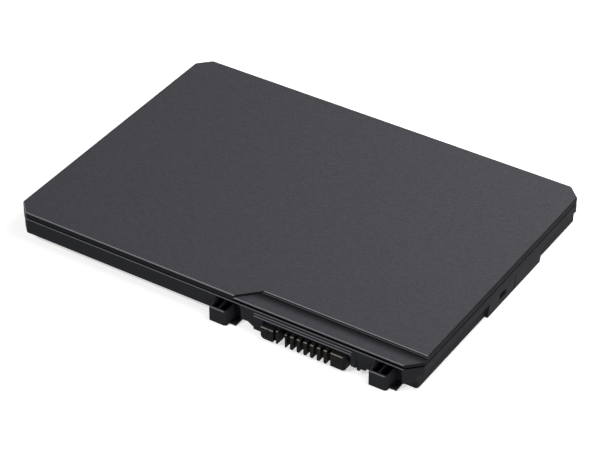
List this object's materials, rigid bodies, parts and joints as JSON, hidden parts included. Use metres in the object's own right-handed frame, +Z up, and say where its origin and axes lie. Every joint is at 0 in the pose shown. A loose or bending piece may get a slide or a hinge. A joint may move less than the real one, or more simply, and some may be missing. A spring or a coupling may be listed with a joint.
{
  "type": "laptop battery",
  "caption": "Flat removable laptop battery pack in a dark grey plastic casing, with a comb connector, hooks and a lowered shelf along one long edge.",
  "frame": {"origin": "middle of the casing's outline, on the base it rests on", "axes": "+X along the front long edge to the right, +Y to the back, away from the connector, +Z up"},
  "size_m": [0.1558, 0.1138, 0.0116],
  "materials": {
    "cover_plastic": "fine grained",
    "tray_plastic": "satin",
    "connector_plastic": "satin",
    "contact_metal": "plated",
    "board_laminate": "lacquered",
    "chip_black": "moulded",
    "fuse_ceramic": "glazed",
    "capacitor_ceramic": "fired",
    "nickel_strip": "rolled",
    "tab_aluminium": "rolled",
    "cell_foil": "satin foil",
    "tape_adhesive": "matte",
    "pad_foam": "open cell"
  },
  "bodies": {
    "root": {"top_cover": "cover_plastic", "tray": "tray_plastic", "connector_housing": "connector_plastic", "protection_board": "board_laminate", "sense_resistor": "chip_black", "fuel_gauge_chip": "chip_black", "discharge_mosfet": "chip_black", "charge_mosfet": "chip_black", "pack_fuse": "fuse_ceramic", "thermistor": "chip_black", "pack_lead_negative": "nickel_strip", "pack_lead_positive": "nickel_strip", "link_1_2": "nickel_strip", "link_2_3": "nickel_strip", "contact_1": "contact_metal", "contact_2": "contact_metal", "contact_3": "contact_metal", "contact_4": "contact_metal", "contact_5": "contact_metal", "contact_6": "contact_metal", "contact_7": "contact_metal", "capacitor_1": "capacitor_ceramic", "capacitor_2": "capacitor_ceramic", "capacitor_3": "capacitor_ceramic", "capacitor_4": "capacitor_ceramic", "cell_1": "cell_foil", "cell_tape_1": "tape_adhesive", "foam_pad_1": "pad_foam", "cell_1_tab_negative": "nickel_strip", "cell_1_tab_positive": "tab_aluminium", "cell_2": "cell_foil", "cell_tape_2": "tape_adhesive", "foam_pad_2": "pad_foam", "cell_2_tab_negative": "nickel_strip", "cell_2_tab_positive": "tab_aluminium", "cell_3": "cell_foil", "cell_tape_3": "tape_adhesive", "foam_pad_3": "pad_foam", "cell_3_tab_negative": "nickel_strip", "cell_3_tab_positive": "tab_aluminium"}
  },
  "joints": []
}
